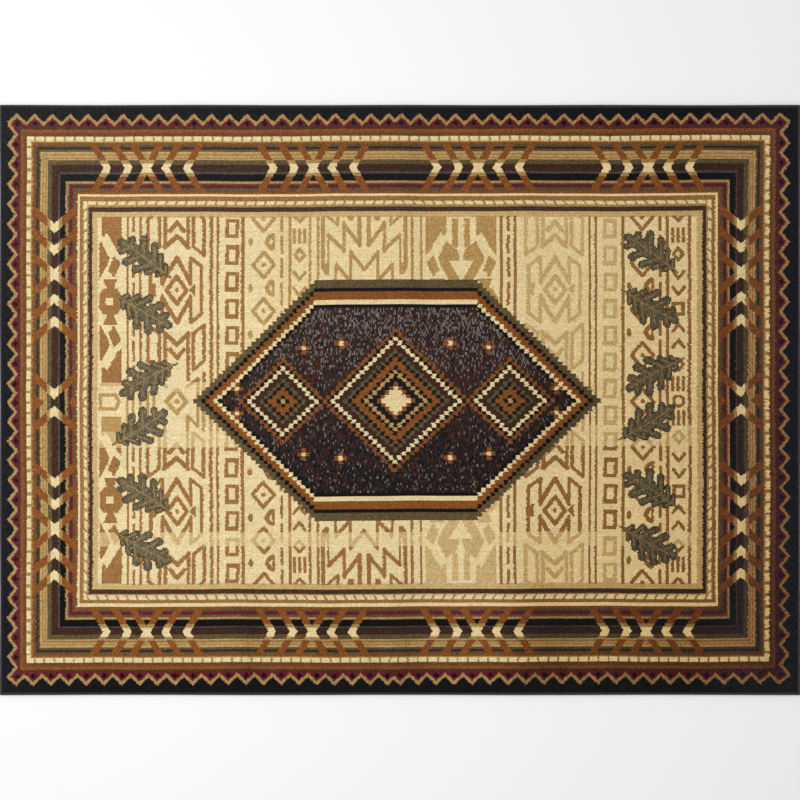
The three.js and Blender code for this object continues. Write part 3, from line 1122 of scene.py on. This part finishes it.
def edging_section():
    """The edging's section as rows of depth in from the rim and height: its inner foot and shoulder, an arc
    over the top and round the outside, and its outer foot. The third column is how much wraps show."""
    arc = np.radians(np.linspace(*EDGING_ARC[:2], EDGING_ARC[2]))
    over = np.stack([
        EDGING_WIDTH / 2 * (1 + np.cos(arc)),
        EDGING_HEIGHT / 2 * (1 + np.sin(arc)),
        np.ones(len(arc)),
    ], axis=1)
    foot = [[EDGING_WIDTH, 0, 0], [EDGING_WIDTH, EDGING_SHOULDER * EDGING_HEIGHT, SHOULDER_SHOWS]]
    return np.concatenate([foot, over, [[EDGING_FOOT * EDGING_WIDTH, 0, 0]]])


def edging_points(quarter, pulls, section, grooved):
    """The section carried along one side, three rings to a wrap, one of them drawn in to make a groove. A
    ring leans along the side as it goes over the top, and less and less towards the corners' mitres."""
    rings = len(grooved)
    length, far = (RUG_WIDTH, RUG_LENGTH / 2) if quarter % 2 else (RUG_LENGTH, RUG_WIDTH / 2)
    share = np.linspace(-1, 1, rings)[:, None]
    depth, height, shows = section.T[:, None, :]
    across = depth - EDGING_WIDTH / 2
    up = height - EDGING_HEIGHT / 2
    uneven = WRAP_UNEVEN["size"] * shows * seed.normal(size=(rings, 1))
    uneven = uneven.clip(-WRAP_UNEVEN["most"], WRAP_UNEVEN["most"])
    shrink = 1 - (WRAP_GROOVE * shows * grooved[:, None] + uneven) / np.hypot(across, up)
    depth_now = EDGING_WIDTH / 2 + across * shrink
    height_now = np.where(height > 0, EDGING_HEIGHT / 2 + up * shrink, 0)
    pulled = RIM_PULL * np.sin(pulls * np.pi * (share + 1) / 2) ** 2 * (1 - depth / EDGING_WIDTH)
    lean = WRAP_LEAN * WRAP_PITCH * (depth / EDGING_WIDTH - 0.5) * (1 - share ** MITRE_POWER)
    along = share * (length / 2 - depth - SEWN_GAP / np.sqrt(2)) + lean
    inwards = far - depth_now - pulled
    angle = quarter * np.pi / 2
    x = along * np.cos(angle) + inwards * np.sin(angle)
    y = along * np.sin(angle) - inwards * np.cos(angle)
    return np.stack([x, y, np.broadcast_to(height_now, x.shape)], axis=-1).reshape(-1, 3)


def edging_run(name, quarter, pulls, material):
    """One side's wrapped run as a closed piece, its grooves darkened in colour as painted shade, with its
    own tint for each ring.
    """
    section = edging_section()
    count = len(section)
    rings = 3 * round((RUG_WIDTH if quarter % 2 else RUG_LENGTH) / WRAP_PITCH) + 1
    grooved = np.arange(rings) % 3 == 0
    points = edging_points(quarter, pulls, section, grooved)
    start = np.arange(rings - 1)[:, None] * count
    first = (start + np.arange(count)).ravel()
    beside = (start + (np.arange(count) + 1) % count).ravel()
    skin = np.stack([first, beside, beside + count, first + count], axis=1)
    ends = [list(range(count))[::-1], list(range((rings - 1) * count, rings * count))]
    piece = new_piece(name + "_wraps", points, skin.tolist() + ends)
    # Painted shade: the grooved rings are darkened, on top of each ring's random tint
    tint_and_shade = 1 + WRAP_TINT_AND_SHADE["spread"] * seed.normal(size=rings) - WRAP_TINT_AND_SHADE["groove_shade"] * grooved
    tint_and_shade = np.clip(tint_and_shade, WRAP_TINT_AND_SHADE["least"], WRAP_TINT_AND_SHADE["most"])
    colour = ((np.array(EDGING_YARN) / 255) ** EDGING_GAMMA)[None, :] * tint_and_shade[:, None]
    layer = piece.data.color_attributes.new("wrap", "FLOAT_COLOR", "POINT")
    every = np.repeat(np.concatenate([colour, np.ones((rings, 1))], axis=1), count, axis=0)
    layer.data.foreach_set("color", every.ravel())
    piece.data.polygons.foreach_set("use_smooth", np.arange(len(piece.data.polygons)) < len(skin))
    piece.data.materials.append(material)
    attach(piece, "root")
    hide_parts(name)
    return piece


serging = yarn_material("serging", "wrap", EDGING_FIBRE, EDGING_FINISH, EDGING_BUMP)
edging = [edging_run(name, quarter, pulls, serging) for name, quarter, pulls in SIDES]


# Floor and light
# A plain pale floor, a wide soft light over the left of the rug and an even pale room.
FLOOR_SIZE = 40.0
FLOOR_DROP = 0.0004
FLOOR_COLOUR = (0.98, 0.98, 0.98, 1)
ROOM_STRENGTH = 0.6
LAMP_PLACE = (-1.6, 0.3, 3.4)
LAMP_SIZE = 2.4
LAMP_POWER = 67.0

half = FLOOR_SIZE / 2
corners = [(x * half, y * half, -FLOOR_DROP) for x, y in ((-1, -1), (1, -1), (1, 1), (-1, 1))]
floor = new_piece("floor", corners, [(0, 1, 2, 3)])
paint = bpy.data.materials.new("floor")
paint.use_nodes = True
set_sockets(paint.node_tree.nodes["Principled BSDF"], {"Base Color": FLOOR_COLOUR, "Roughness": 0.9})
floor.data.materials.append(paint)

room = bpy.data.worlds.new("room")
room.use_nodes = True
set_sockets(room.node_tree.nodes["Background"], {"Color": (1, 1, 1, 1), "Strength": ROOM_STRENGTH})
bpy.context.scene.world = room
bpy.context.scene.view_settings.view_transform = "Standard"

lamp_data = bpy.data.lights.new("lamp", "AREA")
lamp_data.energy = LAMP_POWER
lamp_data.size = LAMP_SIZE
lamp = bpy.data.objects.new("lamp", lamp_data)
lamp.location = LAMP_PLACE
lamp.rotation_euler = (-Vector(LAMP_PLACE)).to_track_quat("-Z", "Y").to_euler()
bpy.context.scene.collection.objects.link(lamp)
